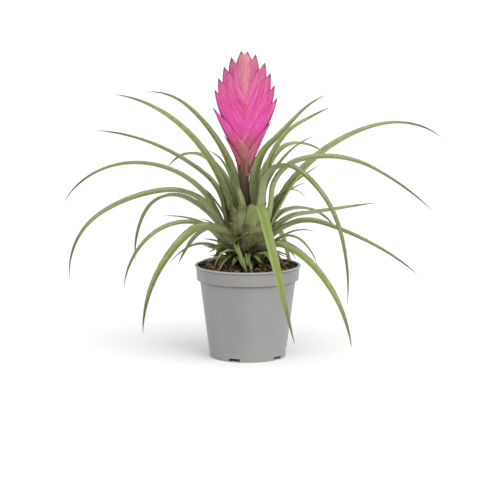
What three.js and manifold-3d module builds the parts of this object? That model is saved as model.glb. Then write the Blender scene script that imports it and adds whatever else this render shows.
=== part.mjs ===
// A pink quill (an air-plant relative) in flower, growing in a plain 9 cm nursery pot.
// Millimetres, +Z up. The origin is the middle of the pot's underside, and -Y is the plant's front.
import * as THREE from 'three';
import { mergeVertices } from 'three/addons/utils/BufferGeometryUtils.js';
import Module from 'manifold-3d';

// Fit between neighbouring pieces
const GAP = 0.3;
const TOLERANCE = 0.01;

// Pot: a thin moulded cup with a deep rim band, a foot ring and drainage cuts
const POT_HEIGHT = 78.4;
const POT_LIP_RADIUS = 45;
const POT_LIP_HEIGHT = 1.5;
const POT_BAND_TOP_RADIUS = 44;
const POT_BAND_FOOT_RADIUS = 43.3;
const POT_BAND_FOOT = 66.2;
const POT_BODY_TOP_RADIUS = 40.8;
const POT_FOOT_RADIUS = 32.2;
const POT_WALL = 1.3;
const POT_FLOOR_UNDERSIDE = 3.2;
const POT_FLOOR_TOP = 4.6;
const POT_FOOT_EDGE = 0.5;
const POT_DISC_RADIUS = 10;
const POT_DISC_SLOPE = 0.6;
const POT_SIDES = 60;
const NOTCH_COUNT = 5;
const NOTCH_FIRST = -110.6;
const NOTCH_WIDTH = 10;
const NOTCH_DEPTH = 8;
const NOTCH_HEIGHT = 2.9;
const DRAIN_RADIUS = 4;
const DRAIN_CIRCLE = 21;
const DRAIN_SIDES = 12;

// Soil: a bark mix that fills the pot to just below the lip, with a plain hole for the stem
const SOIL_LEVEL = 75.2;
const SOIL_SIDES = 30;
const SOIL_RINGS = 6;
const SOIL_CRUMB = 0.55;
const CRUMB_COARSE = 0.52;
const CRUMB_FINE = 0.9;
const CRUMB_FINE_SHARE = 0.6;

// Stem: short and thick, its foot in the soil, wrapped by the roots of all the leaves
const STEM_FOOT = 44;
const STEM_FOOT_RADIUS = 5;
const STEM_SHOULDER = 50;
const STEM_RADIUS = 9.6;
const STEM_TOP = 117;
const STEM_SIDES = 20;
const STEM_HEIGHTS = [76.5, 82, 88, 100, 110, STEM_TOP];
const STEM_RADII = [STEM_RADIUS, 12.6, 13.6, 10.6, 7, 4];

// Leaf section: a shallow channel, broad and clasping at the sheath, then a long thin taper
const LEAF_THICKNESS = 0.85;
const LEAF_EDGE_THICKNESS = 0.7;
const LEAF_RINGS = 18;
const BEND_AT = [0, 0.2, 0.4, 0.7, 1];
const WIDTH_AT = [0, 0.08, 0.16, 0.27, 0.5, 0.8, 1];
const WIDTH_SHARE = [0.38, 0.8, 1, 0.68, 0.54, 0.34, 0.05];
const ROOT_FOLD = 0.18;
const BLADE_FOLD = 0.4;
const FOLD_REACH = 0.3;
const ROOT_GAP = 0.5;

// Each large leaf: turn seen from above in degrees (0 is +X, 90 the back), height of its root on the stem,
// drift of that turn by its tip, length, greatest width, and its rise in degrees at the places in BEND_AT
const LEAVES = {
  right_arch_low: { turn: -4, root: 97, drift: 13, length: 208, width: 13, rise: [66, 87, 13, -28, -43] },
  right_arch_high: { turn: 20, root: 94, drift: 9, length: 222, width: 14, rise: [67, 58, 37, 10, -33] },
  right_level: { turn: 29, root: 86, drift: 8, length: 132, width: 11, rise: [60, 45, 2, 4, 3] },
  right_up_front: { turn: 34, root: 101, drift: 22, length: 159, width: 11, rise: [73, 86, 66, 17, 12] },
  right_back_low: { turn: 54, root: 86.5, drift: 0, length: 138, width: 10, rise: [60, 38, 7, -18, -39] },
  right_up_back: { turn: 61, root: 111, drift: -3, length: 182, width: 10, rise: [76, 84, 22, 26, 9] },
  back_right: { turn: 74, root: 98, drift: -15, length: 196, width: 12, rise: [62, 56, 28, -3, -23] },
  back_1: { turn: 72, root: 84.5, drift: 0, length: 150, width: 11, rise: [55, 20, -15, -45, -68] },
  back_2: { turn: 93, root: 90, drift: 4, length: 172, width: 13, rise: [62, 34, 0, -40, -64] },
  back_3: { turn: 103, root: 84.5, drift: 0, length: 160, width: 12, rise: [55, 18, -16, -48, -74] },
  back_left: { turn: 114, root: 101, drift: 4, length: 183, width: 12, rise: [66, 43, 26, -4, -32] },
  left_up_back: { turn: 126, root: 108, drift: 11, length: 183, width: 11, rise: [73, 72, 46, 28, -6] },
  back_4: { turn: 124, root: 86.5, drift: 0, length: 140, width: 12, rise: [55, 22, -12, -46, -72] },
  left_up_front: { turn: 148, root: 103, drift: -5, length: 187, width: 13, rise: [70, 66, 49, 25, 4] },
  left_hook: { turn: 154, root: 90, drift: -10, length: 156, width: 11, rise: [62, 42, 20, -56, -92] },
  left_up_low: { turn: 171, root: 94, drift: -8.5, length: 175, width: 12, rise: [69, 78, 33, 18, 1] },
  left_arch_high: { turn: 184, root: 92, drift: -16, length: 190, width: 13, rise: [64, 64, 30, -12, -56] },
  left_arch_low: { turn: 199, root: 89, drift: 10, length: 208, width: 13, rise: [65, 56, -1, -28, -94] },
  left_droop: { turn: 205, root: 83.8, drift: 2, length: 140, width: 11, rise: [57, 48, 6, -39, -75] },
  front_left: { turn: 231, root: 88.5, drift: 0, length: 169, width: 15, rise: [60, 27, -21, -47, -85] },
  front_cup: { turn: 252, root: 95, drift: 4, length: 32, width: 13, rise: [64, 58, 20, -24, -36] },
  front_young: { turn: 240, root: 110, drift: 10, length: 46, width: 10, rise: [84, 82, 76, 60, 45] },
  front_long: { turn: -82, root: 98, drift: 10.5, length: 207, width: 15, rise: [80, 35, -36, -47, -48] },
  front_right: { turn: -50, root: 86.5, drift: 2, length: 151, width: 13, rise: [57, -5, -23, -47, -75] },
  right_droop: { turn: -35, root: 104, drift: 10, length: 208, width: 12, rise: [72, 85, -28, -70, -92] },
  right_low: { turn: -12, root: 91, drift: 3, length: 150, width: 12, rise: [62, 27, -16, -26, -38] },
};

// Small leaves at the stem's foot, fused to the stem they grow from
const BASAL_LEAVES = [
  { turn: -27, root: 77.5, drift: 0, length: 78, width: 5.5, rise: [56, 60, 34, -37, -68] },
  { turn: -68, root: 77.5, drift: 0, length: 60, width: 5.5, rise: [44, 40, 20, -24, -66] },
  { turn: -108, root: 84, drift: 50, length: 34, width: 8, rise: [44, 20, -10, -40, -30] },
  { turn: 8, root: 80.5, drift: 0, length: 57, width: 5, rise: [60, 52, 43, 13, -19] },
  { turn: 46, root: 78.5, drift: 0, length: 58, width: 5.5, rise: [50, 30, 6, -25, -55] },
  { turn: 87, root: 78, drift: 0, length: 64, width: 5.5, rise: [46, 30, 5, -25, -50] },
  { turn: 118, root: 78.5, drift: 0, length: 56, width: 5.5, rise: [46, 24, 0, -25, -50] },
  { turn: 148, root: 81, drift: 0, length: 88, width: 5, rise: [62, 50, 25, 7, -6] },
  { turn: 176, root: 79, drift: 0, length: 67, width: 6, rise: [58, 36, 15, -30, -52] },
  { turn: 224, root: 77, drift: 0, length: 42, width: 5.5, rise: [46, 36, 18, -5, -25] },
  { turn: 247, root: 78.5, drift: 0, length: 72, width: 5.5, rise: [56, 38, 12, -12, -57] },
];

// Flower stalk: stands on the stem, leans a little to the left and is clasped by brown sheaths
const STALK_RADIUS = 2.7;
const STALK_TOP = 155;
const STALK_LEAN = -3.2;
const STALK_STEPS = 8;
const STALK_SIDES = 10;
const SHEATH_COUNT = 5;
const SHEATH_FIRST = STEM_TOP + 2;
const SHEATH_TURN = 20;
const SHEATH_LENGTH = 17;
const SHEATH_WIDTH = 7.4;
const SHEATH_WIDTH_SHARE = [0.7, 1, 0.95, 0.6, 0.1];
const SHEATH_FOLD = 0.45;
const SHEATH_THICKNESS = 1.2;
const SHEATH_EDGE_THICKNESS = 0.9;
const SHEATH_SEAT = 0.1;
const SHEATH_SPREAD = 0.35;

// Flower head: a flat paddle of folded bracts in two ranks, left and right, facing the front
const HEAD_CENTRE = -2.2;
const HEAD_HALF_WIDTH = 27.3;
const HEAD_HALF_THICKNESS = 3.4;
const HEAD_EDGE_SHARE = 1.15;
const RACHIS_RADIUS = 2.8;
const RACHIS_TAPER = 170;
const RACHIS_TIP_RADIUS = 1.2;
const RACHIS_TOP = 230;

// Bract tips from the lowest up: reach from the head's middle, and height
const RIGHT_TIPS = [
  [11.7, 181], [21, 200.4], [27.2, 220.2], [24.8, 230.6],
  [21.2, 240.6], [16.5, 249.4], [8.9, 256.3], [2, 258.6],
];
const LEFT_TIPS = [
  [7.6, 168], [17.2, 189.5], [HEAD_HALF_WIDTH, 212.2], [25.6, 227],
  [22.3, 236.5], [17.5, 246], [11.5, 253.8], [3.3, 259],
];

// Bract: its outer edge is the keel that it is folded along, which bends by the height of its tip.
// Its inner edge runs from across the head's middle to the tip.
const BRACT_LOWEST_ROOT = 156.5;
const BRACT_LENGTH = 29;
const BRACT_EXTRA_LENGTH = 0.25;
const BRACT_DEPTH = 14;
const BRACT_START = 3;
const BRACT_RINGS = 8;
const BRACT_CROSSING = 1.6;
const BRACT_FULLNESS = 6;
const BRACT_EDGE = 0.4;
const BRACT_LIFT = 0.9;
const BRACT_POINT = 9;
const BRACT_TIP_SPREAD = 0.97;
const BRACT_MIDDLE_SHARE = 0.75;
const BRACT_MIDDLE_EXTRA = 0.1;
const KEEL_FOOT = 2.5;
const KEEL_HEIGHTS = [168, 200, 220, 235, 250, 259];
const KEEL_BENDS = [4.5, 9, 22, 26, 22.5, 14.5];
const INNER_BOW = 0.42;
const INNER_BOW_AT = 0.55;

const LOOKS = {
  pot: { color: '#a6a7a9', roughness: 0.45 },
  soil: { color: '#4a2a1e', roughness: 0.95 },
  leaf: { color: '#82995a', roughness: 0.6 },
  stem: { color: '#8a8d66', roughness: 0.7 },
  stalk: { color: '#6a4636', roughness: 0.7 },
  bract: { color: '#dd4fa0', roughness: 0.55 },
};

const wasm = await Module();
wasm.setup();

const rad = THREE.MathUtils.degToRad;

function lookUp(t, places, values) {
  // The value at t on the straight stretches between the listed places
  let i = 1;
  while (i < places.length - 1 && t > places[i]) {
    i += 1;
  }
  const share = (t - places[i - 1]) / (places[i] - places[i - 1]);
  return THREE.MathUtils.lerp(values[i - 1], values[i], share);
}

function makeMesh(name, geometry, look) {
  const mesh = new THREE.Mesh(geometry, new THREE.MeshStandardMaterial(look));
  mesh.name = name;
  return mesh;
}

function closedShell(geometry) {
  // Keeps the positions alone and merges the shared corners
  const shell = geometry.index ? geometry.toNonIndexed() : geometry.clone();
  shell.deleteAttribute('normal');
  shell.deleteAttribute('uv');
  return mergeVertices(shell, 1e-4);
}

function toSolid(geometry) {
  const shell = closedShell(geometry);
  const vertProperties = new Float32Array(shell.attributes.position.array);
  const triVerts = new Uint32Array(shell.index.array);
  return new wasm.Manifold(new wasm.Mesh({ numProp: 3, vertProperties, triVerts }));
}

function toGeometry(solid) {
  const mesh = solid.getMesh();
  const geometry = new THREE.BufferGeometry();
  geometry.setAttribute('position', new THREE.BufferAttribute(mesh.vertProperties, 3));
  geometry.setIndex(new THREE.BufferAttribute(mesh.triVerts, 1));
  geometry.computeVertexNormals();
  return geometry;
}

function fuse(geometries) {
  return toGeometry(geometries.map(toSolid).reduce((joined, next) => joined.add(next)));
}

function lathe(profile, sides) {
  // Turns [radius, height] corners, listed from the bottom up the outside, about the Z axis
  const points = profile.map(([radius, height]) => new THREE.Vector2(radius, height));
  return new THREE.LatheGeometry(points, sides).rotateX(Math.PI / 2);
}

function blade(rings) {
  // A closed strip through rings of six corners: top left, middle and right, then bottom right, middle and
  // left. Top and bottom are split into triangles alike, so a twisted strip stays an even thickness.
  const corners = 6;
  const positions = rings.flat().flatMap((corner) => corner.toArray());
  const index = [];
  for (let i = 0; i < rings.length - 1; i += 1) {
    for (let j = 0; j < corners; j += 1) {
      const a = i * corners + j;
      const b = i * corners + ((j + 1) % corners);
      const [c, e] = [b + corners, a + corners];
      if (j < 3) {
        index.push(a, e, c, a, c, b);
      } else {
        index.push(a, e, b, b, e, c);
      }
    }
  }
  const last = (rings.length - 1) * corners;
  index.push(1, 2, 3, 1, 3, 4, 0, 1, 4, 0, 4, 5);
  index.push(last + 1, last + 3, last + 2, last + 1, last + 4, last + 3);
  index.push(last, last + 4, last + 1, last, last + 5, last + 4);
  const geometry = new THREE.BufferGeometry();
  geometry.setAttribute('position', new THREE.Float32BufferAttribute(positions, 3));
  geometry.setIndex(index);
  return geometry;
}

function bladeRing(centre, side, up, halfWidth, fold, middle, edge) {
  // One ring of a blade: a channel whose edges stand above its middle
  const lift = up.clone().multiplyScalar(halfWidth * fold);
  const left = centre.clone().addScaledVector(side, -halfWidth).add(lift);
  const right = centre.clone().addScaledVector(side, halfWidth).add(lift);
  return [
    left.clone().addScaledVector(up, edge / 2),
    centre.clone().addScaledVector(up, middle / 2),
    right.clone().addScaledVector(up, edge / 2),
    right.clone().addScaledVector(up, -edge / 2),
    centre.clone().addScaledVector(up, -middle / 2),
    left.clone().addScaledVector(up, -edge / 2),
  ];
}

function stemRadius(height) {
  return lookUp(height, STEM_HEIGHTS, STEM_RADII);
}

function leafHeading(leaf, t) {
  return rad(leaf.turn + leaf.drift * t);
}

function leafDirection(leaf, t) {
  const heading = leafHeading(leaf, t);
  const rise = rad(lookUp(t, BEND_AT, leaf.rise));
  const level = Math.cos(rise);
  return new THREE.Vector3(level * Math.cos(heading), level * Math.sin(heading), Math.sin(rise));
}

function leafGeometry(leaf, clearance) {
  // The leaf's middle line turns evenly between the listed rises while it drifts sideways. Each step between
  // rings follows the direction halfway along it.
  const steps = LEAF_RINGS - 1;
  const reach = stemRadius(leaf.root) + clearance;
  const start = rad(leaf.turn);
  const centre = new THREE.Vector3(reach * Math.cos(start), reach * Math.sin(start), leaf.root);
  const rings = [];
  for (let i = 0; i <= steps; i += 1) {
    const t = i / steps;
    const heading = leafHeading(leaf, t);
    const side = new THREE.Vector3(-Math.sin(heading), Math.cos(heading), 0);
    const up = leafDirection(leaf, t).cross(side);
    const halfWidth = (leaf.width / 2) * lookUp(t, WIDTH_AT, WIDTH_SHARE);
    const fold = THREE.MathUtils.lerp(ROOT_FOLD, BLADE_FOLD, Math.min(1, t / FOLD_REACH));
    rings.push(bladeRing(centre, side, up, halfWidth, fold, LEAF_THICKNESS, LEAF_EDGE_THICKNESS));
    centre.addScaledVector(leafDirection(leaf, t + 0.5 / steps), leaf.length / steps);
  }
  return blade(rings);
}

function makePot() {
  const lipFoot = POT_HEIGHT - POT_LIP_HEIGHT;
  const bodyInner = POT_BODY_TOP_RADIUS - POT_WALL;
  const bandInner = POT_BAND_FOOT_RADIUS - POT_WALL;
  const footInner = POT_FOOT_RADIUS - 2 * POT_WALL;
  const cup = lathe([
    [0, 0],
    [POT_DISC_RADIUS, 0],
    [POT_DISC_RADIUS + POT_DISC_SLOPE, POT_FLOOR_UNDERSIDE],
    [footInner, POT_FLOOR_UNDERSIDE],
    [footInner + POT_FOOT_EDGE, 0],
    [POT_FOOT_RADIUS - POT_FOOT_EDGE, 0],
    [POT_FOOT_RADIUS, POT_FOOT_EDGE],
    [POT_BODY_TOP_RADIUS, POT_BAND_FOOT],
    [POT_BAND_FOOT_RADIUS - POT_FOOT_EDGE, POT_BAND_FOOT],
    [POT_BAND_FOOT_RADIUS, POT_BAND_FOOT + POT_FOOT_EDGE],
    [POT_BAND_TOP_RADIUS, lipFoot],
    [POT_LIP_RADIUS, lipFoot + POT_FOOT_EDGE],
    [POT_LIP_RADIUS, POT_HEIGHT - POT_FOOT_EDGE],
    [POT_LIP_RADIUS - POT_FOOT_EDGE, POT_HEIGHT],
    [POT_BAND_TOP_RADIUS - POT_WALL, POT_HEIGHT - POT_FOOT_EDGE],
    [bandInner, POT_BAND_FOOT + POT_WALL + POT_FOOT_EDGE],
    [bodyInner, POT_BAND_FOOT],
    [POT_FOOT_RADIUS - POT_WALL, POT_FLOOR_TOP],
    [0, POT_FLOOR_TOP],
  ], POT_SIDES);
  let pot = toSolid(cup);
  for (let i = 0; i < NOTCH_COUNT; i += 1) {
    const turn = rad(NOTCH_FIRST + (360 / NOTCH_COUNT) * i);
    const notch = new THREE.BoxGeometry(NOTCH_DEPTH, NOTCH_WIDTH, 2 * NOTCH_HEIGHT);
    notch.translate(POT_FOOT_RADIUS, 0, 0).rotateZ(turn);
    const drain = new THREE.CylinderGeometry(DRAIN_RADIUS, DRAIN_RADIUS, 4 * POT_FLOOR_TOP, DRAIN_SIDES);
    drain.rotateX(Math.PI / 2).translate(DRAIN_CIRCLE, 0, 0).rotateZ(turn);
    pot = pot.subtract(toSolid(notch)).subtract(toSolid(drain));
  }
  return makeMesh('pot', toGeometry(pot), LOOKS.pot);
}

function crumb(x, y) {
  // Height of the rough bark surface above or below its mean level
  const coarse = Math.sin(CRUMB_COARSE * x) * Math.cos(CRUMB_COARSE * y);
  const fine = Math.sin(CRUMB_FINE * (x - y));
  return SOIL_CRUMB * (coarse + CRUMB_FINE_SHARE * fine);
}

function makeSoil() {
  const hole = STEM_RADIUS + GAP;
  const rimRadius = POT_BAND_FOOT_RADIUS - POT_WALL - GAP;
  const bodyRadius = POT_BODY_TOP_RADIUS - POT_WALL - GAP;
  const profile = [
    [0, POT_FLOOR_TOP + GAP],
    [POT_FOOT_RADIUS - POT_WALL - GAP, POT_FLOOR_TOP + GAP],
    [bodyRadius, POT_BAND_FOOT + GAP],
    [rimRadius, POT_BAND_FOOT + POT_WALL + POT_FOOT_EDGE + GAP],
  ];
  for (let i = 0; i <= SOIL_RINGS; i += 1) {
    profile.push([THREE.MathUtils.lerp(rimRadius, hole, i / SOIL_RINGS), SOIL_LEVEL]);
  }
  profile.push([hole, STEM_SHOULDER], [STEM_FOOT_RADIUS + GAP, STEM_FOOT - GAP], [0, STEM_FOOT - GAP]);
  const soil = closedShell(lathe(profile, SOIL_SIDES));
  const position = soil.attributes.position;
  for (let i = 0; i < position.count; i += 1) {
    if (Math.abs(position.getZ(i) - SOIL_LEVEL) < TOLERANCE) {
      position.setZ(i, SOIL_LEVEL + crumb(position.getX(i), position.getY(i)));
    }
  }
  return makeMesh('soil', soil, LOOKS.soil);
}

function makeStem() {
  const core = lathe([
    [0, STEM_FOOT],
    [STEM_FOOT_RADIUS, STEM_FOOT],
    [STEM_RADIUS, STEM_SHOULDER],
    ...STEM_HEIGHTS.map((height, i) => [STEM_RADII[i], height]),
    [0, STEM_TOP],
  ], STEM_SIDES);
  const sunk = -2 * LEAF_THICKNESS;
  const basal = BASAL_LEAVES.map((leaf) => leafGeometry(leaf, sunk));
  return makeMesh('stem', fuse([core, ...basal]), LOOKS.stem);
}

function makeLeaf([name, leaf]) {
  return makeMesh(`leaf_${name}`, leafGeometry(leaf, ROOT_GAP + LEAF_THICKNESS / 2), LOOKS.leaf);
}

function stalkPoint(height) {
  // The stalk leans over in its lower half and then stands upright
  const share = THREE.MathUtils.smoothstep(height, STEM_TOP, STALK_TOP);
  return new THREE.Vector3(STALK_LEAN * share, 0, height);
}

function makeStalk() {
  const rings = [];
  for (let i = 0; i <= STALK_STEPS; i += 1) {
    const height = THREE.MathUtils.lerp(STEM_TOP + GAP, STALK_TOP, i / STALK_STEPS);
    rings.push([STALK_RADIUS, height]);
  }
  const rod = closedShell(lathe([[0, rings[0][1]], ...rings, [0, STALK_TOP]], STALK_SIDES));
  const position = rod.attributes.position;
  for (let i = 0; i < position.count; i += 1) {
    position.setX(i, position.getX(i) + stalkPoint(position.getZ(i)).x);
  }
  const sheaths = [];
  for (let i = 0; i < SHEATH_COUNT; i += 1) {
    const foot = THREE.MathUtils.lerp(SHEATH_FIRST, STALK_TOP - SHEATH_LENGTH, i / (SHEATH_COUNT - 1));
    sheaths.push(sheathGeometry(foot, rad(SHEATH_TURN + 180 * i)));
  }
  return makeMesh('flower_stalk', fuse([rod, ...sheaths]), LOOKS.stalk);
}

function sheathGeometry(foot, turn) {
  // A pointed scale that clasps one side of the stalk
  const side = new THREE.Vector3(-Math.sin(turn), Math.cos(turn), 0);
  const inward = new THREE.Vector3(-Math.cos(turn), -Math.sin(turn), 0);
  const rings = SHEATH_WIDTH_SHARE.map((share, i) => {
    const height = foot + (SHEATH_LENGTH * i) / (SHEATH_WIDTH_SHARE.length - 1);
    const reach = STALK_RADIUS + SHEATH_SEAT + SHEATH_SPREAD * i;
    const centre = stalkPoint(height).addScaledVector(inward, -reach);
    const halfWidth = (SHEATH_WIDTH / 2) * share;
    return bladeRing(centre, side, inward, halfWidth, SHEATH_FOLD, SHEATH_THICKNESS, SHEATH_EDGE_THICKNESS);
  });
  return blade(rings);
}

function curvePoint(from, bend, to, t) {
  return new THREE.QuadraticBezierCurve(from, bend, to).getPoint(t);
}

function bractThickness(point, t) {
  // Half the depth of the head at this point, as a lens that each bract lifts from and closes at its tip
  const lens = HEAD_HALF_THICKNESS * (1 - Math.abs(point.x) / (HEAD_EDGE_SHARE * HEAD_HALF_WIDTH));
  return Math.min(lens + BRACT_LIFT * t, BRACT_EDGE + BRACT_POINT * (1 - t));
}

function bractGeometry(hand, [tipReach, tipHeight]) {
  // Each bract is folded along its keel, with one half to the front and one to the back
  const innerLength = BRACT_LENGTH + BRACT_EXTRA_LENGTH * tipReach;
  const root = Math.max(tipHeight - innerLength - BRACT_DEPTH, BRACT_LOWEST_ROOT);
  const innerRoot = Math.max(tipHeight - innerLength, root + BRACT_START);
  const tip = new THREE.Vector2(tipReach, tipHeight);
  const keelFoot = new THREE.Vector2(KEEL_FOOT, root);
  const keelBow = new THREE.Vector2(lookUp(tipHeight, KEEL_HEIGHTS, KEEL_BENDS), (root + tipHeight) / 2);
  const innerFoot = new THREE.Vector2(-BRACT_CROSSING, innerRoot);
  const fullness = BRACT_FULLNESS * (1 - tipReach / HEAD_HALF_WIDTH);
  const innerBowHeight = THREE.MathUtils.lerp(innerRoot, tipHeight, INNER_BOW_AT);
  const innerBow = new THREE.Vector2(tipReach * INNER_BOW - fullness, innerBowHeight);
  const rings = [];
  for (let i = 0; i < BRACT_RINGS; i += 1) {
    const t = i / (BRACT_RINGS - 1);
    const keel = curvePoint(keelFoot, keelBow, tip, t);
    const inner = curvePoint(innerFoot, innerBow, tip, Math.min(t, BRACT_TIP_SPREAD));
    const middle = keel.clone().lerp(inner, 0.5);
    const innerDepth = bractThickness(inner, t);
    const middleDepth = BRACT_MIDDLE_SHARE * bractThickness(middle, t) + BRACT_MIDDLE_EXTRA;
    const corners = [
      [keel, -BRACT_EDGE],
      [middle, -middleDepth],
      [inner, -innerDepth],
      [inner, innerDepth],
      [middle, middleDepth],
      [keel, BRACT_EDGE],
    ];
    const ring = corners.map(([p, depth]) => new THREE.Vector3(HEAD_CENTRE + hand * p.x, depth, p.y));
    rings.push(hand > 0 ? ring : ring.reverse());
  }
  return blade(rings);
}

function makeHead() {
  const rachis = lathe([
    [0, STALK_TOP + GAP],
    [RACHIS_RADIUS, STALK_TOP + GAP],
    [RACHIS_RADIUS, RACHIS_TAPER],
    [RACHIS_TIP_RADIUS, RACHIS_TOP],
    [0, RACHIS_TOP],
  ], STALK_SIDES).translate(HEAD_CENTRE, 0, 0);
  const right = RIGHT_TIPS.map((tip) => bractGeometry(1, tip));
  const left = LEFT_TIPS.map((tip) => bractGeometry(-1, tip));
  return makeMesh('flower_head', fuse([rachis, ...right, ...left]), LOOKS.bract);
}

const group = new THREE.Group();
const leaves = Object.entries(LEAVES).map(makeLeaf);
group.add(makePot(), makeSoil(), makeStem(), ...leaves, makeStalk(), makeHead());

export default group;
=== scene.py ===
# A pink quill in flower, in a plain grey nursery pot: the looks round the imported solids.
# Metres, +Z up, with the middle of the pot's underside at the origin. The front faces -Y.
import math
import random
from collections import namedtuple

import bpy
from mathutils import Matrix, Vector, noise


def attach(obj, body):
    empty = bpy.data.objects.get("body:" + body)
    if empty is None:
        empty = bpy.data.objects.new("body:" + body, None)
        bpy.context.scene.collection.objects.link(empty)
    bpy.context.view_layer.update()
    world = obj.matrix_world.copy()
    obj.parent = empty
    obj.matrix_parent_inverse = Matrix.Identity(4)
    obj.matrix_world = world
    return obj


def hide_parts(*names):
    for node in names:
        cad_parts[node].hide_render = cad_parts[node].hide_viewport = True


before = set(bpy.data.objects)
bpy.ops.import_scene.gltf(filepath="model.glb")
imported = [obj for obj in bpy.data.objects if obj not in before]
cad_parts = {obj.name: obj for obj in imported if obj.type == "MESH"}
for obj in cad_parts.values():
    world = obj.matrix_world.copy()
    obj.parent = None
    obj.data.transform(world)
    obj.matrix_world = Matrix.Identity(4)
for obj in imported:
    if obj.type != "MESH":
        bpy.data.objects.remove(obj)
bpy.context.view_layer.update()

MM = 0.001
MERGE_DISTANCE = 0.001
SEED = 11

# Camera, fitted to the ellipses of the pot's lip and foot
CAMERA_PLACE = (0.0019, -1.676, 0.3488)
CAMERA_PITCH = 81.25
CAMERA_LENS = 144
CAMERA_SENSOR = 36

# Pot, in millimetres and degrees
POT_HEIGHT = 78.4
POT_LIP_RADIUS = 45
POT_LIP_HEIGHT = 1.5
POT_LIP_CHAMFER = 0.3
POT_BAND_TOP_RADIUS = 44
POT_BAND_FOOT_RADIUS = 43.3
POT_BAND_FOOT = 66.2
POT_BODY_TOP_RADIUS = 40.8
POT_FOOT_RADIUS = 32.2
POT_WALL = 1.3
POT_FLOOR_UNDERSIDE = 3.2
POT_FLOOR_TOP = 4.6
POT_DISC_RADIUS = 10
POT_DISC_FLARE = 0.6
POT_SIDES = 160
POT_BEVEL = 0.35
POT_BEVEL_STEPS = 3
POT_BEVEL_ANGLE = 35
POT_SMOOTH_ANGLE = 28
FOOT_RING_FLARE = 0.3
FOOT_RING_EASE = 0.1
FOOT_LINE = 8.2
FOOT_LINE_DEPTH = 0.45
FOOT_LINE_DROP = 0.4
NOTCH_COUNT = 5
NOTCH_FIRST = -110.6
NOTCH_SIZE = (8, 10, 5.8)
DRAIN_RADIUS = 4
DRAIN_CIRCLE = 21
DRAIN_SIDES = 32

# Soil, in millimetres. A wave is its frequency, its layer of the noise and its share.
SOIL_LEVEL = 75.2
SOIL_SHOULDER = 2.2
SOIL_GAP = 0.2
SOIL_FOOT_GAP = 0.3
SOIL_HEAP = 1.6
SOIL_SIDES = 96
SOIL_RINGS = 26
SOIL_INNER_RADIUS = 2
SOIL_ROUGHNESS = 0.9
SOIL_WAVES = ((0.09, 3.1, 1), (0.34, 8.4, 0.7))
SOIL_TONE = 0.2

# Bark chips. Widths, heights, rounding and breaks are shares of a chip's size, and tilts are radians.
CHIP_COUNT = 420
CHIP_PATTERNS = 5
CHIP_SIZES = (3.2, 8.5)
CHIP_WIDTHS = (0.45, 0.75)
CHIP_HEIGHTS = (0.2, 0.34)
CHIP_ROUNDING = 0.28
CHIP_BREAK = 0.09
CHIP_LIFTS = (-0.2, 0.9)
CHIP_TILT = 0.5
CHIP_RIM_GAP = 1.5
CHIP_RIM_SIZE = 2.5
CHIP_INNER_SHARE = 0.04

# Stem under the leaves: radii and heights from its foot up, in millimetres
STEM_PROFILE = ((5, 44), (9.6, 50), (9.6, 76.5), (12.6, 82), (13.6, 88), (10.6, 100), (7, 110), (4, 117))
STEM_SIDES = 48

# The first number of each kind of blade. A blade's number sets its grain, twist, ragged margin and tint.
BASAL_NUMBERS = 60
THIN_NUMBERS = 80
CROWN_NUMBERS = 100
YOUNG_NUMBER = 160
STALK_NUMBERS = 200
LEFT_BRACT_NUMBERS = 280
RIGHT_BRACT_NUMBERS = 320
TANGLE_NUMBERS = 400
GRAIN_STEP = 7.3

# A leaf: turn seen from above in degrees (0 is +X, 90 the back), height of its root, drift of that turn by
# its tip, length, the width that its shape has shares of, and its rise in degrees at the places in BEND_AT.
# Heights, lengths and widths are in millimetres.
Leaf = namedtuple("Leaf", "turn root drift length width rise")
BEND_AT = (0, 0.2, 0.4, 0.7, 1)
SPINE_STEPS = 17

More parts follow.
